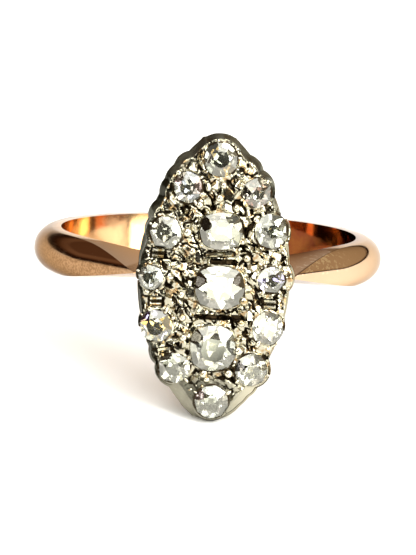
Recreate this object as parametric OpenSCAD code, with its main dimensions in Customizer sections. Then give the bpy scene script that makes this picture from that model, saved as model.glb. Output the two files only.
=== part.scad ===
// Navette cluster ring: a rose gold band whose bevelled shoulders carry a long,
// scalloped white metal head, set with fifteen old cut diamonds.
//
// The ring is drawn about its finger hole: the hole runs along Z, X goes across the
// finger and the head faces -Y. It is then laid down as it rests by itself, on the
// lower end of the head and the back of the band.

/* [Band] */
// Diameter of the finger hole
bore_d = 16.9; // [15.7:0.1:18.1]
// Thickness of the band, from the finger to its crest
band_t = 1.5; // [1.4:0.05:1.6]
// Thickness of the band along its two edges
edge_t = 0.5; // [0.4:0.05:0.6]
// Width of the band at the back
back_w = 2.2; // [2.0:0.05:2.25]
// Width of the band at its widest, before the bevels of the shoulders
shoulder_w = 2.4; // [2.3:0.05:2.5]

/* [Shoulders] */
// Angle from the head at which each shoulder leaves the round of the band
rise_angle = 48; // [46:1:49]
// Distance from the finger's axis at which the bevels start
bevel_start = 4.2; // [4.0:0.1:4.6]
// Height above the finger hole at which the two bevels meet in an edge
bevel_edge_h = 1.65; // [1.55:0.05:1.7]
// How late the bevels turn in: 1 is straight, and more keeps the band wide for longer
bevel_power = 2.5; // [2:0.1:3]
// The same underneath, where the band is filed narrower
under_power = 1.3; // [1.2:0.1:2]

/* [Head] */
// Half width of the smooth navette under the scallops
navette_w = 4.15; // [4.05:0.05:4.2]
// Half length of the smooth navette, to the two points of its arcs
navette_l = 8.4; // [8.3:0.05:8.5]
// Half length at which those two points are cut round
navette_end = 7.7; // [7.6:0.05:7.8]
// Height of the head's underside above the finger hole
head_base_h = 1.28; // [1.24:0.01:1.32]
// Height of the outline's widest level above the finger hole
head_waist_h = 2.15; // [2.05:0.05:2.25]
// Height of the face's rim above the finger hole
head_rim_h = 2.85; // [2.75:0.05:2.95]
// Rise of the face from its rim to its middle
dome = 0.6; // [0.5:0.05:0.7]
// Thickness of the gold plate behind the head
plate_t = 0.6; // [0.5:0.05:0.7]

/* [Stones] */
// Space between a stone and its seat
seat_gap = 0.03; // [0.02:0.01:0.05]
// Height of a crown, as a share of the stone's width
crown_share = 0.2; // [0.16:0.01:0.24]
// Depth of a pavilion, as a share of the stone's width
pavilion_share = 0.4; // [0.36:0.01:0.42]
// Height of the girdle
girdle_t = 0.1; // [0.08:0.01:0.12]
// Radius of the grains that hold the stones
grain_r = 0.17; // [0.14:0.01:0.2]

/* [Hidden] */
// Stones: where each one sits on the face, its width and length, its outline
// (2 is round and more is a cushion), its table, and the turn of its four grains.
//  name             x      z      w     l     power  table  turn
STONES = [
    ["stone_top",     0.10,  6.50, 1.84, 1.92, 2.0,  0.45,  20],
    ["stone_left_1", -1.62,  4.96, 1.52, 1.72, 2.2,  0.50,  50],
    ["stone_right_1", 2.10,  4.78, 1.60, 1.64, 2.0,  0.42,  40],
    ["stone_left_2", -2.70,  2.46, 1.74, 1.80, 2.0,  0.48,  45],
    ["stone_upper",   0.25,  2.69, 2.28, 2.00, 3.0,  0.50,  45],
    ["stone_right_2", 2.98,  2.74, 1.78, 1.94, 2.2,  0.36,  45],
    ["stone_left_3", -3.42, -0.02, 1.40, 1.40, 2.0,  0.45,  45],
    ["stone_middle",  0.30, -0.37, 2.65, 2.32, 3.0,  0.52,  45],
    ["stone_right_3", 3.06,  0.10, 1.56, 1.46, 2.0,  0.45,  45],
    ["stone_left_4", -3.02, -2.63, 1.78, 1.78, 2.2,  0.50,  45],
    ["stone_right_4", 2.98, -2.56, 1.76, 1.84, 2.2,  0.45,  45],
    ["stone_lower",   0.06, -3.71, 2.44, 2.50, 3.0,  0.48,  45],
    ["stone_left_5", -1.97, -4.90, 1.74, 1.66, 2.2,  0.45,  30],
    ["stone_right_5", 2.20, -4.88, 1.84, 1.84, 2.0,  0.42,  60],
    ["stone_bottom",  0.12, -6.70, 1.90, 1.90, 2.0,  0.45,  45],
];
NAME = 0;
STONE_X = 1;
STONE_Z = 2;
STONE_W = 3;
STONE_L = 4;
POWER = 5;
TABLE = 6;
TURN = 7;

// Scallops: the round lobes of the head's outline, one beside each outer stone
// and smaller ones between them.
//    x      z      radius
LOBES = [
    [ 0.05,  6.43, 1.45],
    [-1.38,  5.82, 1.07],
    [ 1.45,  5.75, 1.04],
    [-1.62,  5.05, 1.30],
    [ 1.93,  4.86, 1.22],
    [-2.05,  4.60, 1.10],
    [-2.75,  3.35, 0.95],
    [-2.70,  2.46, 1.18],
    [ 2.92,  2.66, 1.14],
    [-3.30,  0.10, 0.94],
    [ 3.24,  0.12, 1.16],
    [-2.98, -2.45, 1.06],
    [ 2.92, -2.45, 1.06],
    [-2.48, -4.08, 0.93],
    [-1.88, -5.00, 1.15],
    [ 2.16, -4.90, 1.14],
    [ 1.72, -5.62, 0.99],
    [ 0.42, -5.38, 2.10],
    [ 0.10, -5.85, 2.00],
];

// Single grains in the wider spaces of the face.
//    x      z      size against grain_r
GRAINS = [
    [-0.37, -5.15, 1.5],
    [ 0.98, -5.10, 1.5],
    [ 1.47, -3.83, 1.6],
    [ 1.64, -1.08, 1.5],
    [-1.55,  2.55, 1.6],
    [-1.55,  0.35, 1.3],
    [-1.75, -0.85, 1.3],
    [-1.65, -2.10, 1.3],
    [-1.55, -3.20, 1.3],
    [-1.25,  1.55, 1.3],
    [-0.95,  4.05, 1.3],
    [ 0.10,  4.45, 1.4],
    [ 1.05,  3.95, 1.3],
    [ 1.70,  1.25, 1.3],
    [ 1.55, -2.30, 1.3],
    [ 0.30,  5.15, 1.2],
    [-0.20, -5.45, 1.1],
];

// Bright cut bars between neighbouring stones: where the middle of each one
// lies, its length and its turn.
//    x      z      length turn
BARS = [
    [-3.08,  1.46, 0.62,   0],
    [-3.08,  1.20, 0.62,   0],
    [-3.10, -1.16, 0.62,   4],
    [-3.10, -1.42, 0.62,   4],
    [-2.56, -3.93, 0.66,  12],
    [ 2.28,  3.80, 0.66,   6],
    [ 3.04, -1.12, 0.66,  -4],
    [ 3.04, -1.38, 0.66,  -4],
    [ 0.21,  1.42, 1.46,   3],
];
BAR_R = 0.09;

// Grains closer than this to one another, in grain radii, become one
GRAIN_SPACE = 2.3;
SEAT_TOP = 0.5;

// Sizes that follow from those above
bore_r = bore_d / 2;
band_r = bore_r + band_t;
crest_drop = band_t - edge_t;
crest_r = (pow(shoulder_w / 2, 2) + crest_drop * crest_drop) / (2 * crest_drop);
lens_r = (navette_l * navette_l + navette_w * navette_w) / (2 * navette_w);
lens_off = lens_r - navette_w;
bevel_edge = bore_r + bevel_edge_h;
head_base = bore_r + head_base_h;
head_waist = bore_r + head_waist_h;
head_rim = bore_r + head_rim_h;
joint_gap = 0.03;
plate_top = head_base - joint_gap;
grain_off = 0.6 * grain_r;
far = 30;

// How far the outline is drawn in at each level of the head, and at the gold
// plate and the pocket between the shoulders
base_inset = 0.4;
rim_inset = 0.35;
plate_inset = 0.7;
pocket_inset = 0.2;
saddle_w = 1.1;
saddle_l = 2 * (navette_w - plate_inset - joint_gap);
// Steps round the head's outline, and along each bevel
OUTLINE_STEPS = 112;
BEVEL_STEPS = 10;
// How far a shoulder reaches into the round of the band, and how far inside it lies
JOINT_OVERLAP = 0.3;
JOINT_STEP = 0.02;
// How far the two sections reach into the finger hole before it is cut
BAND_ROOT = 1;
SHOULDER_ROOT = 0.8;
// Rings of the domed face as shares of its rim, each with half the points of the last
FACE_RINGS = [0.8, 0.52, 0.26];

// The head's lower end and the back of the band are what the ring lies on
tip_z = -outline_reach(-90, 0);
back_half = back_w / 2;
back_r = band_r - crest_r + sqrt(crest_r * crest_r - back_half * back_half);
tilt = atan2(-tip_z - back_half, head_waist + back_r);
lift = back_r * sin(tilt) + back_half * cos(tilt);
depth_shift = 1.95;

// Outline of the head, as the distance from its middle along a direction
function ray_to_circle(a, c, r) =
    let (d = [cos(a), sin(a)], off = c[0] * d[1] - c[1] * d[0])
    abs(off) < r ? c * d + sqrt(r * r - off * off) : 0;

function lens_reach(a, inset) =
    min(ray_to_circle(a, [lens_off, 0], lens_r - inset),
        ray_to_circle(a, [-lens_off, 0], lens_r - inset),
        navette_end - inset);

function outline_reach(a, inset) =
    max([lens_reach(a, inset),
         for (lobe = LOBES) ray_to_circle(a, [lobe[0], lobe[1]], lobe[2] - inset)]);

// Directions that lie closer together towards the two ends of the head
function outline_angle(i) =
    let (t = 360 * i / OUTLINE_STEPS) atan2(navette_l * sin(t), navette_w * cos(t));

function outline_points(inset, share = 1, step = 1) =
    [for (i = [0 : step : OUTLINE_STEPS - 1])
        let (a = outline_angle(i), r = share * outline_reach(a, inset)) [r * cos(a), r * sin(a)]];

// Height of the face over a point of it, and the slopes of the face there
function face_height(x, z) =
    head_rim + dome * (1 - pow(norm([x, z]) / outline_reach(atan2(z, x), rim_inset), 2));

function face_slope_x(x) = atan(2 * dome * x / (navette_w * navette_w));

function face_slope_z(z) = atan(2 * dome * z / (navette_l * navette_l));

// Head coordinates (x across, y along the finger, z outwards) to ring coordinates
module in_head() {
    rotate([90, 0, 0]) children();
}

module on_face(x, z, sink = 0) {
    translate([x, z, face_height(x, z) - sink])
        rotate([-face_slope_z(z), face_slope_x(x), 0])
            children();
}

// The ring as it lies
module at_rest() {
    translate([0, depth_shift, lift]) rotate([-tilt, 0, 0]) children();
}

// Half of the band's section is round over its crest; the finger side is flat
module band_section(inner, inside = 0) {
    w = shoulder_w - 2 * inside;
    intersection() {
        translate([inner, -w / 2])
            square([band_r - inner, w]);
        union() {
            translate([band_r - crest_r, 0]) circle(crest_r - inside, $fn = 64);
            translate([inner, -w / 2])
                square([band_r - crest_r - inner, w]);
        }
    }
}

// One side of the bevels as seen along X, from where they start to the edge at the head
function bevel_line(width, power) = [
    for (i = [0 : BEVEL_STEPS - 1])
        let (share = i / BEVEL_STEPS)
        [-bevel_start - share * (bevel_edge - bevel_start), width / 2 * (1 - pow(share, power))]
];

// Outline of the band as seen along X: it widens from the back to the bevels, though
// not underneath, and is drawn along a curve to an edge at the head
module side_outline() {
    under = bevel_line(back_w, under_power);
    polygon(concat(
        [[far, -back_half], [far, back_half], [band_r, back_half]],
        bevel_line(shoulder_w, bevel_power),
        [[-bevel_edge, 0]],
        [for (i = [BEVEL_STEPS - 1 : -1 : 0]) [under[i][0], -under[i][1]]]
    ));
}

// A straight shoulder leaves the round's end a hair inside it, so that the two
// are one solid and their surfaces don't touch along the joint
module rising_shoulder() {
    rise_l = band_r * tan(rise_angle);
    rotate([0, 0, rise_angle - 90])
        rotate([90, 0, 0])
            translate([0, 0, -JOINT_OVERLAP])
                linear_extrude(rise_l + JOINT_OVERLAP)
                    band_section(bore_r - SHOULDER_ROOT, JOINT_STEP);
}

// The round of the band stops where the straight shoulders take over
module band() {
    intersection() {
        union() {
            rotate_extrude(start = rise_angle - 90, angle = 360 - 2 * rise_angle, $fn = 128)
                band_section(bore_r - BAND_ROOT);
            for (side = [0, 1])
                mirror([side, 0, 0]) rising_shoulder();
        }
        rotate([90, 0, 90])
            linear_extrude(2 * far, center = true)
                side_outline();
    }
}

// What carries the head: a saddle between the shoulders, and a plate that backs it
module saddle() {
    translate([-saddle_l / 2, -(plate_top - plate_t / 2), -saddle_w / 2])
        cube([saddle_l, plate_top, saddle_w]);
}

module back_plate() {
    in_head()
        translate([0, 0, plate_top - plate_t])
            linear_extrude(plate_t)
                polygon(outline_points(plate_inset));
}

module head_pocket() {
    in_head()
        translate([0, 0, plate_top])
            linear_extrude(far)
                polygon(outline_points(pocket_inset));
}

module shank() {
    color([0.80, 0.52, 0.38])
        at_rest()
            difference() {
                union() {
                    difference() {
                        band();
                        head_pocket();
                    }
                    saddle();
                    back_plate();
                }
                cylinder(r = bore_r, h = far, center = true, $fn = 128);
            }
}

// Faces between two rings of points; the upper ring has as many points or half
function ring_faces(low, n, high, m) =
    n == m
    ? [for (i = [0 : n - 1])
        let (j = (i + 1) % n)
        each [[low + i, high + i, low + j], [low + j, high + i, high + j]]]
    : [for (i = [0 : m - 1])
        let (j = (i + 1) % m, p = low + 2 * i, q = p + 1, r = low + (2 * i + 2) % n)
        each [[p, high + i, q], [q, high + i, high + j], [q, high + j, r]]];

// Point number at which each ring starts
function ring_start(rings, k) = k == 0 ? 0 : ring_start(rings, k - 1) + len(rings[k - 1]);

// A closed body through rings of points, from the lowest to the highest
module loft(rings) {
    last = len(rings) - 1;
    bottom = len(rings[0]);
    top = ring_start(rings, last);
    polyhedron(
        points = [for (ring = rings) each ring],
        faces = concat(
            [[for (i = [0 : bottom - 1]) i]],
            [for (k = [0 : last - 1])
                each ring_faces(
                    ring_start(rings, k), len(rings[k]), ring_start(rings, k + 1), len(rings[k + 1])
                )],
            [[for (i = [len(rings[last]) - 1 : -1 : 0]) top + i]]
        )
    );
}

// Body of the head: base, widest level, rim and domed face
function head_level(inset, share, height, step = 1) =
    [for (p = outline_points(inset, share, step)) [p[0], p[1], height]];

module head_body() {
    loft(concat(
        [head_level(base_inset, 1, head_base),
         head_level(0, 1, head_waist),
         head_level(rim_inset, 1, head_rim)],
        [for (k = [0 : len(FACE_RINGS) - 1])
            let (s = FACE_RINGS[k])
            head_level(rim_inset, s, head_rim + dome * (1 - s * s), pow(2, k + 1))]
    ));
}

// A grain is a low bead with a straight foot
module grain(r) {
    hull() {
        translate([0, 0, -r]) cylinder(r = r, h = 1.25 * r, $fn = 7);
        translate([0, 0, 0.8 * r]) cylinder(r = 0.5 * r, h = r / 20, $fn = 7);
    }
}

// Four grains round each stone
STONE_GRAINS = [
    for (s = STONES, k = [0 : 3])
        let (a = s[TURN] + 90 * k, reach = superellipse(a, s[POWER]))
        [s[STONE_X] + (s[STONE_W] / 2 + grain_off) * cos(a) * reach,
         s[STONE_Z] + (s[STONE_L] / 2 + grain_off) * sin(a) * reach,
         1]
];
ALL_GRAINS = concat(GRAINS, STONE_GRAINS);

// A grain has its place inside the rim, off every stone and off the grains before it
function stone_share(x, z, s) =
    let (a = atan2((z - s[STONE_Z]) / s[STONE_L], (x - s[STONE_X]) / s[STONE_W]))
    norm([(x - s[STONE_X]) / s[STONE_W], (z - s[STONE_Z]) / s[STONE_L]])
    * 2 / superellipse(a, s[POWER]);

function grain_fits(i) =
    let (g = ALL_GRAINS[i], x = g[0], z = g[1])
    norm([x, z]) < outline_reach(atan2(z, x), rim_inset + grain_off)
    && min([for (s = STONES) stone_share(x, z, s)]) > 1
    && min([far, for (j = [0 : 1 : i - 1])
                norm([x - ALL_GRAINS[j][0], z - ALL_GRAINS[j][1]])]) > GRAIN_SPACE * grain_r;

// A bar has a straight ridge
module bar(length) {
    rotate([0, 90, 0])
        cylinder(r = BAR_R, h = length, center = true, $fn = 4);
}

module setting() {
    color([0.66, 0.65, 0.62])
        at_rest()
            in_head()
                difference() {
                    union() {
                        head_body();
                        for (i = [0 : len(ALL_GRAINS) - 1])
                            if (grain_fits(i))
                                on_face(ALL_GRAINS[i][0], ALL_GRAINS[i][1])
                                    grain(ALL_GRAINS[i][2] * grain_r);
                        for (b = BARS) on_face(b[0], b[1]) rotate([0, 0, b[3]]) bar(b[2]);
                    }
                    for (s = STONES) seat(s);
                }
}

// Old cut: table, star, kite and girdle facets over a pavilion with a culet.
// The middle ring of each half lies at these shares of its width and its height.
STONE_FOLDS = 8;
CULET = 0.12;
MID_WIDTH = 0.5;
MID_CROWN = 0.62;
MID_PAVILION = 0.5;

function superellipse(a, power) =
    pow(pow(abs(cos(a)), power) + pow(abs(sin(a)), power), -1 / power);

function stone_ring(w, l, power, share, height, count, turn) =
    [for (i = [0 : count - 1])
        let (a = turn + 360 * i / count, k = share * superellipse(a, power))
        [w / 2 * k * cos(a), l / 2 * k * sin(a), height]];

// Facets of one half, from its flat out to the girdle, as point numbers
function half_facets(flat, mid, girdle) =
    [for (i = [0 : STONE_FOLDS - 1])
        let (n = (i + 1) % STONE_FOLDS,
             b = (i + STONE_FOLDS - 1) % STONE_FOLDS,
             g0 = girdle + 2 * i,
             g1 = g0 + 1,
             g2 = girdle + (2 * i + 2) % (2 * STONE_FOLDS))
        each [[flat + i, flat + n, mid + i],
              [flat + i, mid + i, g0],
              [flat + i, g0, mid + b],
              [mid + i, g1, g0],
              [mid + i, g2, g1]]];

function reversed(list) = [for (i = [len(list) - 1 : -1 : 0]) list[i]];

module cut_stone(w, l, power, table, crown, pavilion, girdle) {
    f = STONE_FOLDS;
    mid_out = table + MID_WIDTH * (1 - table);
    mid_in = CULET + MID_WIDTH * (1 - CULET);
    half_turn = 180 / f;
    rings = concat(
        stone_ring(w, l, power, table, girdle / 2 + crown, f, 0),
        stone_ring(w, l, power, mid_out, girdle / 2 + MID_CROWN * crown, f, half_turn),
        stone_ring(w, l, power, 1, girdle / 2, 2 * f, 0),
        stone_ring(w, l, power, 1, -girdle / 2, 2 * f, 0),
        stone_ring(w, l, power, mid_in, -girdle / 2 - MID_PAVILION * pavilion, f, half_turn),
        stone_ring(w, l, power, CULET, -girdle / 2 - pavilion, f, 0)
    );
    polyhedron(
        points = rings,
        faces = concat(
            [[for (i = [f - 1 : -1 : 0]) i]],
            half_facets(0, f, 2 * f),
            [for (i = [0 : 2 * f - 1])
                let (n = (i + 1) % (2 * f))
                [2 * f + i, 2 * f + n, 4 * f + n, 4 * f + i]],
            [for (t = half_facets(7 * f, 6 * f, 4 * f)) reversed(t)],
            [[for (i = [0 : f - 1]) 7 * f + i]]
        )
    );
}

// Seat of a stone: straight down past its girdle, then a cone round its pavilion
module seat(s) {
    w = s[STONE_W] + 2 * seat_gap;
    l = s[STONE_L] + 2 * seat_gap;
    ledge = -girdle_t / 2 - seat_gap;
    depth = pavilion_share * min(s[STONE_W], s[STONE_L]) + seat_gap;
    on_face(s[STONE_X], s[STONE_Z], girdle_t)
        loft([
            stone_ring(w, l, s[POWER], CULET, ledge - depth, 2 * STONE_FOLDS, 0),
            stone_ring(w, l, s[POWER], 1, ledge, 2 * STONE_FOLDS, 0),
            stone_ring(w, l, s[POWER], 1, SEAT_TOP, 2 * STONE_FOLDS, 0),
        ]);
}

module stone(s) {
    size = min(s[STONE_W], s[STONE_L]);
    color([0.90, 0.93, 0.96])
        at_rest()
            in_head()
                on_face(s[STONE_X], s[STONE_Z], girdle_t)
                    cut_stone(
                        s[STONE_W],
                        s[STONE_L],
                        s[POWER],
                        s[TABLE],
                        crown_share * size,
                        pavilion_share * size,
                        girdle_t
                    );
}

shank();
setting();
for (s = STONES)
    stone(s);
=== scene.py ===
import math
import random

import bmesh
import bpy
from mathutils import Matrix, Vector, noise


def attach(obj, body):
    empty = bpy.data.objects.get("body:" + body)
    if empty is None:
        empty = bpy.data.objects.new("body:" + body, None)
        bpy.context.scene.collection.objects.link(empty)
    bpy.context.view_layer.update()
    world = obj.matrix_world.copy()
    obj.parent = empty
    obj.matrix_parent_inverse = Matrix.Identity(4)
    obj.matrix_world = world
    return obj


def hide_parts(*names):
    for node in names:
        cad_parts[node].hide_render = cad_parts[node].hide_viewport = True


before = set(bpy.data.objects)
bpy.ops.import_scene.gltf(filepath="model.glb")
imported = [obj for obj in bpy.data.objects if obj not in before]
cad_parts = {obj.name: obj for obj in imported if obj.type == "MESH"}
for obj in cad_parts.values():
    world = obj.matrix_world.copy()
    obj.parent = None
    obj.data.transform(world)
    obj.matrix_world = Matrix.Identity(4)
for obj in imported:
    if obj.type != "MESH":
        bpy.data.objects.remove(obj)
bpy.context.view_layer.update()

# Sizes in millimetres, as in the part's source. The band and the head are shaped
# about the finger hole and then laid down as the ring rests.
BORE_R = 8.45
BAND_R = 9.95
CREST_R = 1.22
BACK_HALF = 1.1
SHOULDER_HALF = 1.2
RISE_ANGLE = 48.0
BEVEL_START = 4.2
BEVEL_EDGE = 10.1
BEVEL_POWER = 2.5
UNDER_POWER = 1.3
SHOULDER_ROOT = 0.8
NAVETTE_W = 4.15
NAVETTE_L = 8.4
NAVETTE_END = 7.7
HEAD_BASE = 9.73
HEAD_WAIST = 10.6
HEAD_RIM = 11.3
DOME = 0.6
BASE_INSET = 0.4
RIM_INSET = 0.35
PLATE_INSET = 0.7
PLATE_TOP = 9.7
PLATE_T = 0.6
SADDLE_HALF_W = 0.55
SADDLE_HALF_L = 3.42
GIRDLE = 0.1
CROWN_SHARE = 0.2
PAVILION_SHARE = 0.4
CULET = 0.12
TILT = 18.767434
LIFT = 4.019952
DEPTH_SHIFT = 1.95

# name, across, along, width, length, outline power, table share, turn of its grains
STONES = [
    ("stone_top", 0.10, 6.50, 1.84, 1.92, 2.0, 0.45, 20),
    ("stone_left_1", -1.62, 4.96, 1.52, 1.72, 2.2, 0.50, 50),
    ("stone_right_1", 2.10, 4.78, 1.60, 1.64, 2.0, 0.42, 40),
    ("stone_left_2", -2.70, 2.46, 1.74, 1.80, 2.0, 0.48, 45),
    ("stone_upper", 0.25, 2.69, 2.28, 2.00, 3.0, 0.50, 45),
    ("stone_right_2", 2.98, 2.74, 1.78, 1.94, 2.2, 0.36, 45),
    ("stone_left_3", -3.42, -0.02, 1.40, 1.40, 2.0, 0.45, 45),
    ("stone_middle", 0.30, -0.37, 2.65, 2.32, 3.0, 0.52, 45),
    ("stone_right_3", 3.06, 0.10, 1.56, 1.46, 2.0, 0.45, 45),
    ("stone_left_4", -3.02, -2.63, 1.78, 1.78, 2.2, 0.50, 45),
    ("stone_right_4", 2.98, -2.56, 1.76, 1.84, 2.2, 0.45, 45),
    ("stone_lower", 0.06, -3.71, 2.44, 2.50, 3.0, 0.48, 45),
    ("stone_left_5", -1.97, -4.90, 1.74, 1.66, 2.2, 0.45, 30),
    ("stone_right_5", 2.20, -4.88, 1.84, 1.84, 2.0, 0.42, 60),
    ("stone_bottom", 0.12, -6.70, 1.90, 1.90, 2.0, 0.45, 45),
]

# Scallops of the head's outline: across, along, radius
LOBES = [
    (0.05, 6.43, 1.45), (-1.38, 5.82, 1.07), (1.45, 5.75, 1.04), (-1.62, 5.05, 1.30),
    (1.93, 4.86, 1.22), (-2.05, 4.60, 1.10), (-2.75, 3.35, 0.95), (-2.70, 2.46, 1.18),
    (2.92, 2.66, 1.14), (-3.30, 0.10, 0.94), (3.24, 0.12, 1.16), (-2.98, -2.45, 1.06),
    (2.92, -2.45, 1.06), (-2.48, -4.08, 0.93), (-1.88, -5.00, 1.15), (2.16, -4.90, 1.14),
    (1.72, -5.62, 0.99), (0.42, -5.38, 2.10), (0.10, -5.85, 2.00),
]

# Bright cut bars: across, along, length, turn
BARS = [
    (-3.08, 1.46, 0.62, 0), (-3.08, 1.20, 0.62, 0), (-3.10, -1.16, 0.62, 4),
    (-3.10, -1.42, 0.62, 4), (-2.56, -3.93, 0.66, 12), (2.28, 3.80, 0.66, 6),
    (3.04, -1.12, 0.66, -4), (3.04, -1.38, 0.66, -4), (0.21, 1.42, 1.46, 3),
]

# Round grains in the wider spaces: across, along, size against GRAIN_R
GRAIN_R = 0.17
GRAINS = [
    (-0.37, -5.15, 1.5), (0.98, -5.10, 1.5), (1.47, -3.83, 1.6), (1.64, -1.08, 1.5),
    (-1.55, 2.55, 1.6), (-1.55, 0.35, 1.3), (-1.75, -0.85, 1.3), (-1.65, -2.10, 1.3),
    (-1.55, -3.20, 1.3), (-1.25, 1.55, 1.3), (-0.95, 4.05, 1.3), (0.10, 4.45, 1.4),
    (1.05, 3.95, 1.3), (1.70, 1.25, 1.3), (1.55, -2.30, 1.3), (0.30, 5.15, 1.2),
    (-0.20, -5.45, 1.1),
]

# Dark slots sawn between the middle stones: across, along, length, half width
SLOTS = [(0.44, 1.02, 1.2, 0.10), (0.25, -2.00, 2.3, 0.09)]

LENS_R = (NAVETTE_L ** 2 + NAVETTE_W ** 2) / (2 * NAVETTE_W)
LENS_OFF = LENS_R - NAVETTE_W

LAID = (
    Matrix.Diagonal((0.001, 0.001, 0.001, 1))
    @ Matrix.Translation((0, DEPTH_SHIFT, LIFT))
    @ Matrix.Rotation(math.radians(-TILT), 4, "X")
)
ON_HEAD = LAID @ Matrix.Rotation(math.radians(90), 4, "X")


def smooth_step(value):
    value = min(1.0, max(0.0, value))
    return value * value * (3 - 2 * value)


def polar(across, along):
    return math.atan2(along, across), math.hypot(across, along)


def ray_to_circle(angle, across, along, radius):
    c, s = math.cos(angle), math.sin(angle)
    off = across * s - along * c
    if abs(off) >= radius:
        return 0.0
    return across * c + along * s + math.sqrt(radius * radius - off * off)


def outline(angle, inset):
    """Distance from the head's middle to its outline, drawn in by an inset."""
    lens = min(
        ray_to_circle(angle, LENS_OFF, 0, LENS_R - inset),
        ray_to_circle(angle, -LENS_OFF, 0, LENS_R - inset),
        NAVETTE_END - inset,
    )
    return max([lens] + [ray_to_circle(angle, a, b, r - inset) for a, b, r in LOBES])


class Round:
    """A distance that depends on the direction, worked out once all the way round."""

    STEPS = 2880

    def __init__(self, reach):
        self.reach = [reach(math.tau * i / self.STEPS) for i in range(self.STEPS)]

    def __call__(self, angle):
        at = angle / math.tau * self.STEPS
        i = math.floor(at)
        a, b = self.reach[i % self.STEPS], self.reach[(i + 1) % self.STEPS]
        return a + (b - a) * (at - i)


face_outline = Round(lambda angle: outline(angle, RIM_INSET))


def face_height(across, along):
    angle, reach = polar(across, along)
    return HEAD_RIM + DOME * (1 - (reach / face_outline(angle)) ** 2)


def superellipse(angle, power):
    return (abs(math.cos(angle)) ** power + abs(math.sin(angle)) ** power) ** (-1 / power)


def stone_share(across, along, stone, grow=0.0):
    """How far out a point of the face lies, against a stone's outline: 1 is on it."""
    _, sx, sz, w, l, power, _, _ = stone
    u = (across - sx) / (w / 2 + grow)
    v = (along - sz) / (l / 2 + grow)
    return math.hypot(u, v) / superellipse(math.atan2(v, u), power)


def stone_place(stone, sink=GIRDLE):
    """Stone coordinates to head coordinates: the stone leans with the dome."""
    _, sx, sz = stone[:3]
    lean_z = math.atan(2 * DOME * sz / NAVETTE_L ** 2)
    lean_x = math.atan(2 * DOME * sx / NAVETTE_W ** 2)
    return (
        Matrix.Translation((sx, sz, face_height(sx, sz) - sink))
        @ Matrix.Rotation(lean_x, 4, "Y")
        @ Matrix.Rotation(-lean_z, 4, "X")
    )


def on_face(across, along, turn=0.0, rise=0.0):
    lean_z = math.atan(2 * DOME * along / NAVETTE_L ** 2)
    lean_x = math.atan(2 * DOME * across / NAVETTE_W ** 2)
    return (
        Matrix.Translation((across, along, face_height(across, along) + rise))
        @ Matrix.Rotation(lean_x, 4, "Y")
        @ Matrix.Rotation(-lean_z, 4, "X")
        @ Matrix.Rotation(turn, 4, "Z")
    )


class Value:
    """A number that varies over a surface. Sums and products of it add Math nodes."""

    def __init__(self, shading, socket):
        self.shading, self.socket = shading, socket

    def _math(self, operation, *terms):
        return self.shading.node(
            "ShaderNodeMath", {"operation": operation, "use_clamp": False}, dict(enumerate(terms))
        )

    def __add__(self, other):
        return self._math("ADD", self, other)

    def __sub__(self, other):
        return self._math("SUBTRACT", self, other)

    def __rsub__(self, other):
        return self._math("SUBTRACT", other, self)

    def __mul__(self, other):
        return self._math("MULTIPLY", self, other)

    def __abs__(self):
        return self._math("ABSOLUTE", self)

    __radd__, __rmul__ = __add__, __mul__


class Shading:
    """A node tree that is put together from values."""

    def __init__(self, tree):
        self.tree = tree

    def put(self, socket, value):
        if isinstance(value, Value):
            self.tree.links.new(value.socket, socket)
        elif isinstance(value, tuple) and len(value) == 3 and socket.type == "RGBA":
            socket.default_value = (*value, 1)
        else:
            socket.default_value = value

    def node(self, kind, settings=None, inputs=None, output=0):
        node = self.tree.nodes.new(kind)
        for label, value in (settings or {}).items():
            setattr(node, label, value)
        for label, value in (inputs or {}).items():
            self.put(node.inputs[label], value)
        return Value(self, node.outputs[output])

    def between(self, low, high, value):
        """0 at the low value, 1 at the high one, eased between them."""
        return self.node(
            "ShaderNodeMapRange",
            {"interpolation_type": "SMOOTHSTEP"},
            {"Value": value, "From Min": low, "From Max": high},
        )

    def mix(self, share, first, second):
        return self.node("ShaderNodeMix", {"data_type": "RGBA"}, {0: share, 6: first, 7: second}, 2)

    def along(self, vector, axis):
        return self.node("ShaderNodeSeparateXYZ", {}, {0: vector}, axis)


class Finish(Shading):
    """A material whose colour and polish are built from nodes."""

    def __init__(self, name, **sockets):
        self.material = bpy.data.materials.new(name)
        self.material.use_nodes = True
        super().__init__(self.material.node_tree)
        self.shader = self.tree.nodes["Principled BSDF"]
        self.set(**sockets)

    def set(self, **sockets):
        for label, value in sockets.items():
            self.put(self.shader.inputs[label.replace("_", " ")], value)

    def place(self):
        return self.node("ShaderNodeTexCoord", output="Object")

    def layer(self, name, output="Fac"):
        """What a piece's own layer of this name holds, such as how hollow it is."""
        return self.node("ShaderNodeAttribute", {"attribute_name": name}, output=output)

    def grain(self, scale, detail=4.0, rough=0.55):
        return self.node(
            "ShaderNodeTexNoise",
            {},
            {"Vector": self.place(), "Scale": scale, "Detail": detail, "Roughness": rough},
        )

    def bump(self, height, strength, distance):
        self.set(Normal=self.node(
            "ShaderNodeBump", {}, {"Height": height, "Strength": strength, "Distance": distance}
        ))


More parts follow.
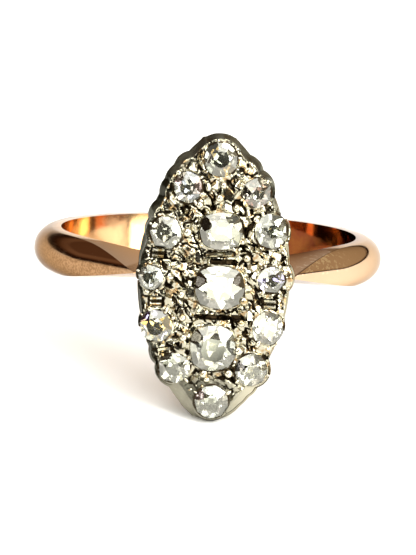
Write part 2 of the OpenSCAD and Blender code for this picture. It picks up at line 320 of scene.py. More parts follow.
def rose_gold_finish():
    """Polished rose gold: painted shade low down and far left, speckled with wear there, scratched
    by the head, a painted dark line of shade along the upper crease, and a painted reflection
    inside, more orange, with painted shade on the inside right.
    """
    f = Finish("polished_rose_gold", Metallic=1.0, Specular_Tint=(0.60, 0.55, 0.50, 1.0))
    across = f.along(f.place(), 0)
    painted_shade_mask, inside, edge = f.layer("painted_shade"), f.layer("inside"), f.layer("edge")
    wear = f.grain(900, 5, 0.6)
    speckle = f.grain(9000, 2, 0.6)
    clean = f.mix(wear, (0.60, 0.42, 0.27), (0.66, 0.47, 0.31))
    # Painted shade: darker gold low down and at the far left end, speckled with wear
    painted_shade = f.mix(f.between(0.40, 0.60, speckle), (0.24, 0.13, 0.06), (0.38, 0.22, 0.11))
    # Inside the band: gold painted more orange as a painted reflection, and dark reddish brown
    # painted shade on its right side
    inside_shade = f.mix(f.between(0.3, 0.8, wear), (0.15, 0.035, 0.014), (0.24, 0.085, 0.018))
    scratched = f.between(0.54, 0.62, f.grain(4200, 2, 0.5)) * f.between(0.0080, 0.0062, across)
    scratched = scratched * f.between(0.0040, 0.0052, across) * f.layer("above")
    shaded_inside = inside * f.between(0.001, 0.005, across)
    colour = f.mix(0.6 * scratched, f.mix(painted_shade_mask, clean, painted_shade), (1.0, 0.86, 0.62))
    colour = f.mix(shaded_inside, f.mix(inside, colour, (0.84, 0.51, 0.25)), inside_shade)
    f.set(
        # The edge layer paints a dark line of shade along the upper crease of the right front
        # shoulder
        Base_Color=f.mix(f.between(0.93, 0.99, edge), colour, (0.20, 0.11, 0.055)),
        Roughness=0.05 + 0.10 * f.between(0.45, 0.75, wear) + 0.10 * painted_shade_mask + 0.06 * (inside - shaded_inside),
    )
    f.bump(speckle, 0.04, 0.00001)
    return f.material


def silver_finish():
    """Aged white metal, painted near black on the wall at the left and top as shade, darkened in
    the hollows by grime and painted shade, with painted warm glints.
    """
    f = Finish("aged_white_metal", Specular_Tint=(0.55, 0.54, 0.46, 1.0))
    hollow, painted_shade_mask = f.layer("hollow"), f.layer("painted_shade")
    tarnish = f.grain(1400, 5, 0.65)
    warm = f.grain(2600, 2, 0.5)
    # Hollows, slots and the rims of the seats are darkened: partly grime, partly painted shade
    dirt_and_shade = f.between(0.20, 0.52, hollow + 0.5 * tarnish - 0.2)
    # Painted warm glints: brownish patches by noise, standing in for reflections of the gold
    golden = f.between(0.54, 0.64, warm) * (1 - f.layer("polished"))
    metal = f.mix(golden, (0.45, 0.42, 0.32), (0.33, 0.23, 0.12))
    # Painted shade: near black, less metallic metal on the wall at the left and the top
    mottle = f.between(0.45, 0.6, f.grain(700, 3))
    dark = f.mix(mottle, (0.012, 0.011, 0.006), (0.062, 0.062, 0.044))
    metal = f.mix(painted_shade_mask, metal, dark)
    f.set(
        Base_Color=f.mix(dirt_and_shade, metal, (0.030, 0.020, 0.010)),
        Metallic=1 - 0.45 * painted_shade_mask,
        Roughness=0.08 + 0.12 * tarnish + 0.35 * dirt_and_shade,
    )
    f.bump(f.grain(6000, 4, 0.6), 0.10, 0.00003)
    return f.material


def grain_finish():
    """The raised grains, bright on top, some with a painted yellow glint."""
    f = Finish("rubbed_grains", Metallic=1.0)
    tint = f.grain(2500, 2, 0.5)
    f.set(
        Base_Color=f.mix(f.between(0.52, 0.66, tint), (0.62, 0.58, 0.46), (0.38, 0.28, 0.14)),
        Roughness=0.06 + 0.15 * tint,
    )
    return f.material


def diamond_finish():
    """Old cut diamond, its facets painted with tones that stand in for flashes of light, dark
    reflections and fire.
    """
    f = Finish("old_cut_diamond", Transmission_Weight=0.96, IOR=2.417, Roughness=0.0)
    f.set(Base_Color=f.layer("painted_facet_light", "Color"), Specular_Tint=(0.98, 0.97, 0.84, 1.0))
    return f.material


# Degrees that an edge turns: gold looks sharp over the first, and is rounded over the second
GOLD_SMOOTH = 28
EDGE_ANGLE = 25


def finish_piece(name, bm, place, material, smooth=None, replaced=None):
    """Lays a shaped piece down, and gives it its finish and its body."""
    bmesh.ops.transform(bm, matrix=place, verts=bm.verts)
    mesh = bpy.data.meshes.new(name)
    bm.to_mesh(mesh)
    bm.free()
    mesh.materials.append(material)
    if smooth is not None:
        mesh.shade_smooth()
        mesh.set_sharp_from_angle(angle=math.radians(smooth))
    piece = bpy.data.objects.new(name, mesh)
    bpy.context.scene.collection.objects.link(piece)
    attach(piece, "root")
    if replaced:
        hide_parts(replaced)
    return piece


def edge_bevel(piece, width_mm):
    bevel = piece.modifiers.new("edges", "BEVEL")
    bevel.width, bevel.segments = width_mm / 1000, 2
    bevel.limit_method, bevel.angle_limit = "ANGLE", math.radians(EDGE_ANGLE)


def verts_of(geom):
    return [g for g in geom if isinstance(g, bmesh.types.BMVert)]


def borders_of(geom):
    return [g for g in geom if isinstance(g, bmesh.types.BMEdge) and g.is_boundary]


def extrude_loop(bm, edges, move):
    """Extrudes a closed loop of border edges and moves what comes out of it."""
    out = bmesh.ops.extrude_edge_only(bm, edges=edges)["geom"]
    for v in verts_of(out):
        v.co = move(v.co.copy())
    return borders_of(out)


# The band: half of it is spun and drawn out into a shoulder, shaped, and mirrored
SPIN_STEPS = 72
DRAW_STEPS = 38
DRAW_STEP = 0.2
SHAPING_PASSES = 8
THINNEST_HALF = 0.012
SHOULDER_END = 2.2
BLUNT_EDGE = 0.06


def side_half(y, side):
    """Half width of the band, above or below its middle.

    It tapers a little to the back, though not below, and along a curve to the head.
    """
    widest, power = (SHOULDER_HALF, BEVEL_POWER) if side > 0 else (BACK_HALF, UNDER_POWER)
    if y > -BEVEL_START:
        return BACK_HALF + (widest - BACK_HALF) * (BAND_R - y) / (BAND_R + BEVEL_START)
    share = min(1, (-y - BEVEL_START) / (BEVEL_EDGE - BEVEL_START))
    return max(THINNEST_HALF, widest * (1 - share ** power))


def crest(z):
    return BAND_R - CREST_R + math.sqrt(CREST_R ** 2 - z * z)


def shape_band(bm, inner, out, along):
    """Gives each point its height above the finger's axis and its share of the width."""
    for v in bm.verts:
        t = v.co.dot(along)
        straight = t > 1e-6 and v.co.dot(out) > 0
        if straight:
            axis, foot = out, along * t
            bore = max(BORE_R - SHOULDER_ROOT, math.sqrt(max(0, BORE_R ** 2 - t * t)))
        else:
            axis = Vector((v.co.x, v.co.y, 0)).normalized()
            foot, bore = Vector(), BORE_R
        share, height, z = v.co.z / SHOULDER_HALF, v.co.dot(axis), v.co.z
        for _ in range(SHAPING_PASSES):
            y = (foot + axis * height).y
            z = share * side_half(y, share)
            height = bore if v[inner] else crest(z)
        v.co = foot + axis * height + Vector((0, 0, z))


def trim_shoulder(bm):
    """Ends the shoulder behind the head, and a little before the edge of its bevels."""
    behind_head = (SHOULDER_END, 0, 0), (-1, 0, 0)
    at_edge = (0, BLUNT_EDGE - BEVEL_EDGE, 0), (0, -1, 0)
    for point, normal in (behind_head, at_edge):
        front = [f for f in bm.faces if f.calc_center_median().y < 0]
        geom = dict.fromkeys(g for f in front for g in (f, *f.edges, *f.verts))
        bmesh.ops.bisect_plane(
            bm, geom=list(geom), plane_co=point, plane_no=normal, clear_outer=True
        )
        open_edges = [e for e in bm.edges if e.is_boundary and e.verts[0].co.y < 0]
        bmesh.ops.holes_fill(bm, edges=open_edges)


def mark_band(bm, inner):
    """Layers for the finish: painted shade low down and far left, inside, a painted dark line of
    shade along the upper edge, and above.
    """
    painted_shade, inside, edge, above = (
        bm.verts.layers.float.new(kind) for kind in ("painted_shade", "inside", "edge", "above")
    )
    for v in bm.verts:
        v[inside] = v[inner]
        v[above] = v.co.z > 0.1
        if not v[inner]:
            # Painted shade: the lower half at the left and the far left end are darkened
            low = 1 if v.co.z < 0.25 else smooth_step((-v.co.x - 7.5) / 1.5)
            v[painted_shade] = low * smooth_step((-v.co.x - 1.0) / 5.0)
            # A painted dark line of shade along the upper crease, towards the front right
            at_crease = v.co.z > side_half(v.co.y, 1) - 0.002
            v[edge] = smooth_step(v.co.x / 3) * smooth_step(-v.co.y / 3) if at_crease else 0


def make_band(material):
    joint = math.radians(RISE_ANGLE - 90)
    out = Vector((math.cos(joint), math.sin(joint), 0))
    along = Vector((math.sin(joint), -math.cos(joint), 0))
    bm = bmesh.new()
    arc = [SHOULDER_HALF * math.sin(math.radians(a)) for a in range(90, -91, -9)]
    section = [(BORE_R, -SHOULDER_HALF), (BORE_R, SHOULDER_HALF)] + [(crest(z), z) for z in arc]
    inner = bm.verts.layers.int.new("inner")
    ring = [bm.verts.new(out * r + Vector((0, 0, z))) for r, z in section]
    loop = [bm.edges.new((a, b)) for a, b in zip(ring, ring[1:] + ring[:1])]
    ring[0][inner] = ring[1][inner] = 1
    bmesh.ops.spin(
        bm, geom=loop, cent=(0, 0, 0), axis=(0, 0, 1),
        angle=math.radians(180 - RISE_ANGLE), steps=SPIN_STEPS, use_duplicate=False,
    )
    edges = loop
    for _ in range(DRAW_STEPS):
        edges = extrude_loop(bm, edges, lambda co: co + along * DRAW_STEP)
    shape_band(bm, inner, out, along)
    trim_shoulder(bm)
    bmesh.ops.mirror(
        bm, geom=bm.verts[:] + bm.edges[:] + bm.faces[:], merge_dist=0.002, axis="X"
    )
    bmesh.ops.remove_doubles(bm, verts=bm.verts, dist=0.0005)
    bmesh.ops.recalc_face_normals(bm, faces=bm.faces)
    mark_band(bm, inner)
    band = finish_piece("band", bm, LAID, material, GOLD_SMOOTH, "shank")
    edge_bevel(band, 0.05)


# What carries the head, hidden behind it: the saddle and the gold plate
def make_saddle(material):
    bm = bmesh.new()
    reach = math.asin(SADDLE_HALF_L / BORE_R)
    start = Matrix.Rotation(-reach, 4, "Z") @ Vector((0, -BORE_R, 0))
    ends = [bm.verts.new(start + Vector((0, 0, z))) for z in (-SADDLE_HALF_W, SADDLE_HALF_W)]
    bmesh.ops.spin(
        bm, geom=[bm.edges.new(ends)], cent=(0, 0, 0), axis=(0, 0, 1), angle=2 * reach, steps=24
    )
    shell = bmesh.ops.extrude_face_region(bm, geom=bm.faces[:])["geom"]
    for v in verts_of(shell):
        v.co.y = -(PLATE_TOP - PLATE_T / 2)
    bmesh.ops.recalc_face_normals(bm, faces=bm.faces)
    saddle = finish_piece("saddle", bm, LAID, material, GOLD_SMOOTH)
    edge_bevel(saddle, 0.08)


def make_plate(material):
    bm = bmesh.new()
    bmesh.ops.create_circle(bm, cap_ends=True, radius=1, segments=200)
    for v in bm.verts:
        angle = math.atan2(NAVETTE_L * v.co.y, NAVETTE_W * v.co.x)
        reach = outline(angle, PLATE_INSET)
        v.co = (reach * math.cos(angle), reach * math.sin(angle), PLATE_TOP - PLATE_T)
    top = bmesh.ops.extrude_face_region(bm, geom=bm.faces[:])["geom"]
    bmesh.ops.translate(bm, vec=(0, 0, PLATE_T), verts=verts_of(top))
    bmesh.ops.recalc_face_normals(bm, faces=bm.faces)
    plate = finish_piece("back_plate", bm, ON_HEAD, material, GOLD_SMOOTH)
    edge_bevel(plate, 0.06)


# The head: a fine grid is cut to the face, its borders are drawn down into the
# scalloped wall and into the seats of the stones
CELL = 0.042
GRID_MARGIN = 0.3
LIP = 0.05
RIM_SPACE = 0.14
SIDE_FLARE = 0.2
NO_STONE_NEAR = 9.0

# Bright cut ground: size and slope of its chips, how far they are skewed and
# squeezed, width and depth of the gaps between them, and depth of the dark slots
CHIP = 0.40
CHIP_SLOPE = 1.1
SKEW = 0.35
SQUEEZE = 0.8
GAP_WIDTH = 0.22
GAP_DEPTH = 0.16
SLOT_DEPTH = 0.16

# The slots' edges slope down over this width, and a shallower trench of this half
# width and slope runs round each bar
SLOT_SLOPE = 0.06
TRENCH_HALF = 0.17
TRENCH_SLOPE = 0.05
TRENCH_DEEP = 0.8

# Lower tip of the head: where it starts, width and drop of its polished bevel
TIP_START = 4.9
POLISHED = 0.55
TIP_DROP = 0.32

# The wall, from the rim down: how far in from the outline, and height
WALL = [
    (0.31, HEAD_RIM - 0.05), (0.20, HEAD_RIM - 0.25), (0.10, HEAD_RIM - 0.46),
    (0.02, HEAD_RIM - 0.62), (0.0, HEAD_WAIST), (0.04, HEAD_WAIST - 0.12),
    (0.36, HEAD_BASE + 0.04), (BASE_INSET, HEAD_BASE),
]

# A seat, from its lip down: how far out from the stone's outline, and height
SEAT = [(0.02, 0.01), (-0.02, 0.015), (-0.03, -0.005), (0.03, -0.03), (0.03, -0.2)]
CUP_SHARE = 0.15
CUP_SPACE = 0.24

# Noise without a seed takes one from the clock, and the ground would differ each run
noise.seed_set(5)


def scalloped(angle):
    """Edge of the face: the scallops, pushed out at the sides and where a stone needs metal."""
    right = smooth_step(1.6 * math.cos(angle + 0.3))
    left = smooth_step(2.5 * math.cos(angle - math.pi - 0.35) - 1.2)
    reach = outline(angle, RIM_INSET - SIDE_FLARE * max(left, right))
    for stone in STONES:
        _, sx, sz, w, l = stone[:5]
        reach = max(reach, ray_to_circle(angle, sx, sz, (w + l) / 4 + LIP + RIM_SPACE))
    return min(reach, outline(angle, 0.0) - 0.02)


rim = Round(scalloped)


def stone_room(x, z):
    """Millimetres from a point of the face to the nearest stone's metal, or less than 0 in it."""
    near = [s for s in STONES if abs(x - s[1]) + abs(z - s[2]) < s[3] + s[4] + 0.4]
    spaces = [(stone_share(x, z, s, LIP) - 1) * (s[3] + s[4]) / 4 for s in near]
    return min(spaces + [NO_STONE_NEAR])


def bottom_share(along):
    """The lower tip of the face is polished smooth: 0 above it and 1 in it."""
    return smooth_step(-along - TIP_START)


def slot_share(across, along):
    """How deep a point lies in the dark slots and round the bars: 1 is right down."""
    deep = 0.0
    for x, z, length, half in SLOTS:
        out = math.hypot(max(0, abs(across - x) - length / 2), along - z)
        deep = max(deep, smooth_step((half + SLOT_SLOPE - out) / SLOT_SLOPE))
    for x, z, length, turn in BARS:
        a = math.radians(turn)
        u = (across - x) * math.cos(a) + (along - z) * math.sin(a)
        v = (along - z) * math.cos(a) - (across - x) * math.sin(a)
        out = math.hypot(max(0, abs(u) - length / 2), v)
        deep = max(deep, TRENCH_DEEP * smooth_step((TRENCH_HALF - out) / TRENCH_SLOPE))
    return deep


def relief(across, along, room, edge):
    """Height of the bright cut ground in millimetres, and how hollow it is.

    The ground is cut into chips that lean every way, with a deep gap here and there.
    """
    place = Vector((across, along, 0))
    bent = place + noise.noise_vector(place * 1.6) * 0.25
    skewed = Vector((bent.x + SKEW * bent.y, SQUEEZE * bent.y, 0))
    near, spots = noise.voronoi(skewed / CHIP)
    lean = noise.noise_vector(spots[0] * 5.3 + Vector((1.7, 4.1, 2.9)))
    chip = (skewed - spots[0] * CHIP).dot(Vector((lean.x, lean.y, 0)))
    gap = 1 - smooth_step((near[1] - near[0]) / GAP_WIDTH)
    deep = smooth_step((noise.noise(place * 2.3 + Vector((7, 3, 0))) + 0.15) / 0.3)
    tip = bottom_share(along)
    fade = smooth_step(room / 0.10) * smooth_step((edge - tip * POLISHED) / 0.15)
    bevel = tip * TIP_DROP * (1 - min(1, edge / POLISHED))
    slot = slot_share(across, along)
    height = fade * (CHIP_SLOPE * chip - GAP_DEPTH * gap * deep - 0.02 - SLOT_DEPTH * slot) - bevel
    return height, fade * max(gap * (0.25 + 0.75 * deep), slot)


def to_border(co, reach_mm):
    """The border within reach and the point on it: 1 is the rim, k + 2 stone k, 0 none."""
    angle, r = polar(co.x, co.y)
    edge = rim(angle)
    if abs(r - edge) < reach_mm:
        return 1, Vector((edge * math.cos(angle), edge * math.sin(angle), 0))
    for k, stone in enumerate(STONES):
        _, sx, sz, w, l = stone[:5]
        if abs(co.x - sx) > w or abs(co.y - sz) > l:
            continue
        share = stone_share(co.x, co.y, stone, LIP)
        if abs(share - 1) * (w + l) / 4 < reach_mm:
            return k + 2, Vector((sx + (co.x - sx) / share, sz + (co.y - sz) / share, 0))
    return 0, co


def is_face(co):
    angle, r = polar(co.x, co.y)
    return r < rim(angle) and stone_room(co.x, co.y) > 0


def cut_face(bm, border):
    """Cuts the grid along the rim and round the stones, with its points drawn on to both."""
    for v in bm.verts:
        v[border], v.co = to_border(v.co, CELL / 2)
    outside = [f for f in bm.faces if not is_face(f.calc_center_median())]
    bmesh.ops.delete(bm, geom=outside, context="FACES")
    for v in bm.verts:
        if v.is_boundary and not v[border]:
            v[border], v.co = to_border(v.co, 4 * CELL)
    bmesh.ops.remove_doubles(bm, verts=bm.verts, dist=0.004)


def cut_ground(bm, border, hollow):
    """Lifts the face to its dome, with the relief of its ground."""
    for v in bm.verts:
        angle, r = polar(v.co.x, v.co.y)
        edge = rim(angle) - r
        room = min(edge, stone_room(v.co.x, v.co.y))
        bumps, depth = relief(v.co.x, v.co.y, max(0, room), max(0, edge))
        v.co.z = face_height(v.co.x, v.co.y) + bumps
        # The rims of the seats round the stones are darkened with painted shade, varied by noise
        seat_shade = 0.5 + noise.noise(Vector((v.co.x, v.co.y, 5)) * 1.9)
        v[hollow] = 0.7 * seat_shade if v[border] > 1 else min(1, max(0, depth))


def border_edges(bm, border, kind):
    return [e for e in bm.edges if e.is_boundary and all(v[border] == kind for v in e.verts)]


def draw_wall(bm, border):
    """Draws the rim down into the scalloped wall and closes it below."""
    def step(inset, height):
        def move(co):
            angle, _ = polar(co.x, co.y)
            dent = 0.03 * max(0, noise.noise(Vector((co.x, co.y, height)) * 2.2))
            reach = max(outline(angle, inset + dent), rim(angle) if inset < RIM_INSET else 0)
            drop = TIP_DROP * bottom_share(co.y) * max(0, inset) / RIM_INSET
            return Vector((reach * math.cos(angle), reach * math.sin(angle), height - drop))
        return move

    edges = border_edges(bm, border, 1)
    for inset, height in WALL:
        edges = extrude_loop(bm, edges, step(inset, height))
    bmesh.ops.holes_fill(bm, edges=edges)


def draw_seat(bm, border, kind, stone):
    """Draws the border round a stone up into a lip, down beside it and in to a cup."""
    _, sx, sz, w, l = stone[:5]
    place = stone_place(stone, 0)
    back = place.inverted()
    cup = place @ Matrix.Translation((0, 0, -CUP_SPACE - PAVILION_SHARE * min(w, l)))

    def step(grow, height):
        def move(co):
            p = back @ co
            share = stone_share(sx + p.x, sz + p.y, stone, grow)
            return place @ Vector((p.x / share, p.y / share, height))
        return move

    def into_cup(co):
        p = back @ co
        return cup @ Vector((CUP_SHARE * p.x, CUP_SHARE * p.y, 0))

    edges = border_edges(bm, border, kind)
    for grow, height in SEAT:
        edges = extrude_loop(bm, edges, step(grow, height))
    bmesh.ops.holes_fill(bm, edges=extrude_loop(bm, edges, into_cup))


def mark_head(bm):
    """Layers for the finish: painted shade on the wall at the left and top and on the left of the
    polished tip, and the polished tip.
    """
    painted_shade = bm.verts.layers.float.new("painted_shade")
    polished = bm.verts.layers.float.new("polished")
    for v in bm.verts:
        v[polished] = bottom_share(v.co.y)
        # Painted shade on the wall at the left and the top, and on the left of the polished tip
        left = smooth_step((0.9 - v.co.x - 0.25 * v.co.y) / 2.4)
        top = smooth_step((v.co.y - 3.0) / 2.0)
        if v.co.z < HEAD_RIM - 0.02:
            v[painted_shade] = max(left, 0.9 * top) * (1 - 0.45 * bottom_share(v.co.y))
        else:
            v[painted_shade] = 0.85 * left * bottom_share(v.co.y)


def make_head(material):
    bm = bmesh.new()
    half_w, half_l = NAVETTE_W + GRID_MARGIN, NAVETTE_END + GRID_MARGIN
    bmesh.ops.create_grid(
        bm, x_segments=round(2 * half_w / CELL), y_segments=round(2 * half_l / CELL), size=1
    )
    bmesh.ops.scale(bm, vec=(half_w, half_l, 1), verts=bm.verts)
    hollow = bm.verts.layers.float.new("hollow")
    border = bm.verts.layers.int.new("border")
    cut_face(bm, border)
    cut_ground(bm, border, hollow)
    draw_wall(bm, border)
    for k, stone in enumerate(STONES):
        draw_seat(bm, border, k + 2, stone)
    bmesh.ops.holes_fill(bm, edges=[e for e in bm.edges if e.is_boundary])
    bmesh.ops.recalc_face_normals(bm, faces=bm.faces)
    mark_head(bm)
    finish_piece("head", bm, ON_HEAD, material, 40, "setting")


# Grains: how many of the claws are drawn, how far out from its stone a claw stands,
# and how often a place for a chip is tried
CLAW_SHARE = 0.6
CLAW_OUT = 0.07
CHIP_TRIES = 1300


def bead(bm, place, radius, flat, fine=2):
    bmesh.ops.create_icosphere(
        bm, subdivisions=fine, radius=radius, matrix=place @ Matrix.Diagonal((1, 1, flat, 1))
    )


def inside_rim(x, z, r):
    angle, reach = polar(x, z)
    return reach < rim(angle) - r - bottom_share(z) * POLISHED


def add_claws(bm, stone, rng):
    """Pairs of claws at the four corners of a stone, over its girdle."""
    _, sx, sz, w, l, power, _, turn = stone
    for k in range(4):
        for side in (-1, 1):
            angle = math.radians(turn + 90 * k + side * rng.uniform(9, 22))
            reach = superellipse(angle, power)
            x = sx + (w / 2 + CLAW_OUT) * math.cos(angle) * reach
            z = sz + (l / 2 + CLAW_OUT) * math.sin(angle) * reach
            if inside_rim(x, z, 0.03) and rng.random() < CLAW_SHARE:
                long = Matrix.Diagonal((rng.uniform(1.0, 1.9), rng.uniform(0.7, 1.1), 1, 1))
                bead(bm, on_face(x, z, angle) @ long, rng.uniform(0.07, 0.14), 0.9)


def add_chips(bm, rng):
    """Small long chips of metal, wherever there is room between what stands already."""
    placed = [(x, z, size * GRAIN_R) for x, z, size in GRAINS]
    for _ in range(CHIP_TRIES):
        x = rng.uniform(-NAVETTE_W, NAVETTE_W)
        z = rng.uniform(-NAVETTE_END, NAVETTE_END)
        r = rng.uniform(0.05, 0.13)
        if not inside_rim(x, z, r + 0.05):
            continue
        if stone_room(x, z) < 0.8 * r or slot_share(x, z) > 0.1:
            continue
        if any(math.hypot(x - a, z - b) < 1.7 * (r + q) for a, b, q in placed):
            continue
        placed.append((x, z, r))
        stretch = Matrix.Diagonal((rng.uniform(0.5, 0.8), rng.uniform(1.3, 2.6), 1, 1))
        bead(bm, on_face(x, z, rng.uniform(0, 3.1), -0.02) @ stretch, r, rng.uniform(0.7, 1.1), 1)


def make_grains(material):
    """Round grains, claws over the girdles of the stones, chips of metal and the bars."""
    rng = random.Random(7)
    bm = bmesh.new()
    for x, z, size in GRAINS:
        bead(bm, on_face(x, z), size * GRAIN_R * 0.95, 0.9, 3)
    for stone in STONES:
        add_claws(bm, stone, rng)
    add_chips(bm, rng)
    for x, z, length, turn in BARS:
        bmesh.ops.create_cone(
            bm, cap_ends=True, segments=4, radius1=0.11, radius2=0.10, depth=length,
            matrix=on_face(x, z, math.radians(turn)) @ Matrix.Rotation(math.radians(90), 4, "Y"),
        )
    finish_piece("grains", bm, ON_HEAD, material, 50)


# Painted tones of the facets, standing in for flashes of light, dark reflections and fire: the
# tones, how often the common ones come up, and what each stone adds
TONES = {
    "white": (0.97, 0.98, 0.86), "champagne": (0.82, 0.81, 0.63), "grey": (0.43, 0.45, 0.35),
    "dark": (0.05, 0.045, 0.04), "smoke": (0.20, 0.17, 0.12), "rose": (0.72, 0.50, 0.46),
    "brown": (0.28, 0.10, 0.06), "amber": (0.92, 0.50, 0.08), "sky": (0.62, 0.74, 1.0),
    "violet": (0.20, 0.17, 0.42), "olive": (0.42, 0.40, 0.24),
}
COMMON = {"white": 9, "champagne": 4, "grey": 3, "dark": 8, "smoke": 4}
ADDED = {
    "stone_top": ("rose", "brown", "amber", "dark"), "stone_left_1": ("rose", "sky", "dark"),
    "stone_right_1": ("brown", "rose"), "stone_left_2": ("white", "grey"),
    "stone_upper": ("champagne", "olive"), "stone_right_2": ("grey", "champagne"),
    "stone_left_3": ("sky", "white", "smoke"), "stone_middle": ("amber", "dark", "champagne"),
    "stone_right_3": ("violet", "dark", "white"), "stone_left_4": ("amber", "violet", "white"),
    "stone_right_4": ("olive", "white"), "stone_lower": ("rose", "white", "champagne"),
    "stone_left_5": ("champagne", "smoke", "olive"), "stone_right_5": ("dark", "white", "dark"),
    "stone_bottom": ("rose", "white", "champagne"),
}


OWN_WEIGHT = 3


def facet_tones(name, rng):
    """Draws tones for a stone: the common ones, and each of its own as often as grey."""
    names = list(COMMON) + list(ADDED[name])
    weights = list(COMMON.values()) + [OWN_WEIGHT] * len(ADDED[name])
    while True:
        yield (*TONES[rng.choices(names, weights=weights)[0]], 1)


# Stones: a blank of the girdle's outline is cut by one plane for each facet. A stone
# narrower than SMALL has fewer facets. The facets between the corners start outside
# the girdle, at FOLD_OUT of its reach, so they only cut the crown's upper part.
SMALL = 1.8
FOLD_OUT = 1.24


def cut(bm, normal, point):
    geom = bm.verts[:] + bm.edges[:] + bm.faces[:]
    made = bmesh.ops.bisect_plane(
        bm, geom=geom, plane_co=point, plane_no=normal, clear_outer=True, dist=1e-5
    )["geom_cut"]
    edges = borders_of(made)
    if edges:
        bmesh.ops.edgeloop_fill(bm, edges=edges)


def stone_blank(w, l, power, crown, pavilion):
    """A straight blank of a stone's outline, as high as the stone, and that outline."""
    bm = bmesh.new()
    bmesh.ops.create_circle(bm, cap_ends=True, radius=1, segments=64)
    for v in bm.verts:
        angle = math.atan2(v.co.y, v.co.x)
        k = superellipse(angle, power)
        v.co = (w / 2 * k * math.cos(angle), l / 2 * k * math.sin(angle), -GIRDLE / 2 - pavilion)
    girdle_line = [Vector((v.co.x, v.co.y)) for v in bm.verts]
    top = bmesh.ops.extrude_face_region(bm, geom=bm.faces[:])["geom"]
    bmesh.ops.translate(bm, vec=(0, 0, crown + pavilion + GIRDLE), verts=verts_of(top))
    bmesh.ops.recalc_face_normals(bm, faces=bm.faces)
    return bm, girdle_line


def tint_facets(bm, name, rng):
    """Paints each facet with light and shade of its own, in the order of their places, and the
    table with a plain colour.
    """
    painted_facet_light = bm.faces.layers.float_color.new("painted_facet_light")
    bm.normal_update()
    in_order = sorted(bm.faces, key=lambda f: [round(c, 3) for c in f.calc_center_median()])
    for f, drawn in zip(in_order, facet_tones(name, rng)):
        # The table is painted a plain light, champagne or grey
        plain = rng.choice(("champagne", "grey"))
        f[painted_facet_light] = (*TONES[plain], 1) if f.normal.z > 0.999 else drawn


def make_stone(stone, material, rng):
    name, _, _, w, l, power, table, turn = stone
    size = min(w, l)
    crown, pavilion = CROWN_SHARE * size, PAVILION_SHARE * size
    bm, girdle_line = stone_blank(w, l, power, crown, pavilion)

    def reach(angle):
        n = Vector((math.cos(angle), math.sin(angle)))
        return max(p.dot(n) for p in girdle_line)

    def facet(angle, low, high, side):
        """A plane through `low` of the girdle's reach and `high` of it at the flat."""
        angle += math.radians(rng.uniform(-1.6, 1.6))
        d = reach(angle)
        rise = crown if side > 0 else pavilion
        run = (low - high) * d
        n = Vector((rise * math.cos(angle), rise * math.sin(angle), side * run)).normalized()
        at = Vector((low * d * math.cos(angle), low * d * math.sin(angle), side * GIRDLE / 2))
        cut(bm, n, at)

    first = math.radians(turn + rng.uniform(-10, 10))
    folds, below = (6, 5) if size < SMALL else (8, 4)
    for k in range(folds):
        edge = first + math.tau * k / folds
        corner = edge + math.pi / folds
        facet(corner, 1.0, rng.uniform(0.98, 1.12) * table, 1)
        facet(edge, FOLD_OUT, table * rng.uniform(0.95, 1.05), 1)
    for k in range(below):
        facet(first + math.tau * (k + 0.5) / below, 1.0, CULET + rng.uniform(0.02, 0.08), -1)
    tint_facets(bm, name, rng)
    place = ON_HEAD @ stone_place(stone)
    finish_piece(name + "_cut", bm, place, material, replaced=name)


gold = rose_gold_finish()
silver = silver_finish()
grains = grain_finish()
diamond = diamond_finish()

make_band(gold)
make_saddle(gold)
make_plate(gold)
make_head(silver)
make_grains(grains)
cutter = random.Random(3)
for stone in STONES:
    make_stone(stone, diamond, cutter)


# A plain pale floor, a hair below the ring
FLOOR_HALF = 1.5
FLOOR_DROP = 0.00001
floor_finish = Finish("pale_floor", Roughness=0.6, Specular_IOR_Level=0.2)
floor_finish.set(
    Base_Color=floor_finish.mix(floor_finish.grain(40, 3), (0.94, 0.94, 0.94), (0.97, 0.97, 0.97))
)
bm = bmesh.new()
bmesh.ops.create_grid(bm, x_segments=1, y_segments=1, size=FLOOR_HALF)
bmesh.ops.translate(bm, vec=(0, 0, -FLOOR_DROP), verts=bm.verts)
floor_mesh = bpy.data.meshes.new("floor")
bm.to_mesh(floor_mesh)
bm.free()
floor_mesh.materials.append(floor_finish.material)
floor = bpy.data.objects.new("floor", floor_mesh)
bpy.context.scene.collection.objects.link(floor)


# Plain soft studio light: pale above, with darker walls to the sides
world = bpy.data.worlds.new("studio")
bpy.context.scene.world = world
world.use_nodes = True
room = Shading(world.node_tree)
toward = room.node("ShaderNodeTexCoord", output="Generated")
across, back, up = (room.along(toward, axis) for axis in "XYZ")
walls = room.mix(room.between(-0.30, 0.50, across), (0.24, 0.11, 0.055), (1.15, 0.88, 0.58))
rail = room.between(0.18, 0.24, up) * room.between(0.36, 0.30, up) * room.between(0, -0.2, across)
walls = room.mix(rail, walls, (0.40, 0.21, 0.12))
skirting = 0.18 - 0.11 * room.between(-0.1, 0.1, across)
walls = room.mix(room.between(0, -0.05, up - skirting), walls, (0.07, 0.025, 0.01))
straight = room.between(0.16, 0.08, abs(across)) * room.between(0.0, 0.3, back)
walls = room.mix(straight * room.between(0.80, 0.62, up), walls, (1.36, 1.22, 1.15))
windows = room.between(0.56, 0.59, room.node(
    "ShaderNodeTexNoise", {}, {"Vector": toward, "Scale": 3.2, "Detail": 1.0}
))
walls = room.mix(
    room.between(-0.15, -0.45, back),
    walls,
    room.mix(windows, (0.05, 0.04, 0.03), (11.5, 11.6, 10.4)),
)
walls = room.mix(room.between(0.66, 0.90, up), walls, (1.0, 0.98, 0.95))
background = world.node_tree.nodes["Background"]
room.put(background.inputs["Color"], walls)
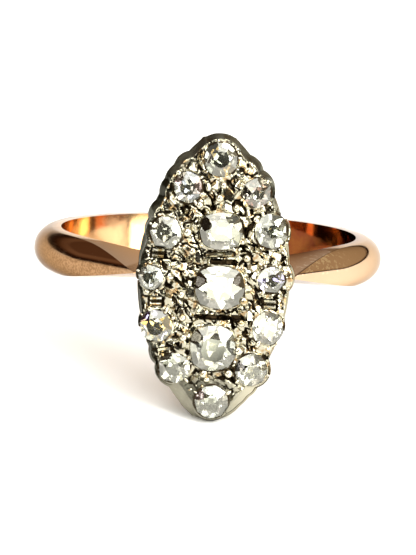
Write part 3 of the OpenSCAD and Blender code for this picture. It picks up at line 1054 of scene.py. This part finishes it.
background.inputs["Strength"].default_value = 0.5


def soft_box(name, azimuth, elevation, distance, width, height, power):
    a, e = math.radians(azimuth), math.radians(elevation)
    at = Vector((math.sin(a) * math.cos(e), -math.cos(a) * math.cos(e), math.sin(e))) * distance
    light = bpy.data.lights.new(name, "AREA")
    light.shape, light.size, light.size_y = "RECTANGLE", width, height
    light.energy = power
    box = bpy.data.objects.new(name, light)
    box.location = at
    box.rotation_euler = (-at).to_track_quat("-Z", "Y").to_euler()
    bpy.context.scene.collection.objects.link(box)


soft_box("overhead_box", 0, 80, 0.9, 0.9, 0.7, 7.0)
soft_box("left_box", -50, 38, 0.8, 0.30, 0.5, 0.8)
soft_box("key_box", 56, 38, 0.8, 0.40, 0.45, 7.0)


# The camera looks from the photograph's angle
AIM = Vector((0, 0, 0.0073))
AZIMUTH, ELEVATION, ROLL, DISTANCE = -2.34, 25.70, 3.14, 0.1896
FOCAL_PX, WIDTH_PX, SENSOR_MM = 3360.5, 416, 36
OFF_RIGHT, OFF_UP = 3.12, 62.84
az, el = math.radians(AZIMUTH), math.radians(ELEVATION)
outward = Vector((math.sin(az) * math.cos(el), -math.cos(az) * math.cos(el), math.sin(el)))
camera_data = bpy.data.cameras.new("camera")
camera_data.sensor_fit = "HORIZONTAL"
camera_data.sensor_width = SENSOR_MM
camera_data.lens = FOCAL_PX * SENSOR_MM / WIDTH_PX
camera_data.clip_start, camera_data.clip_end = 0.01, 20
camera = bpy.data.objects.new("camera", camera_data)
facing = outward.to_track_quat("Z", "Y").to_matrix().to_4x4()
nudge = Matrix.Rotation(math.atan(OFF_RIGHT / FOCAL_PX), 4, "Y") @ Matrix.Rotation(
    -math.atan(OFF_UP / FOCAL_PX), 4, "X"
)
camera.matrix_world = (
    Matrix.Translation(AIM + outward * DISTANCE)
    @ facing
    @ Matrix.Rotation(math.radians(ROLL), 4, "Z")
    @ nudge
)
bpy.context.scene.collection.objects.link(camera)
bpy.context.scene.camera = camera
bpy.context.scene.view_settings.view_transform = "Standard"
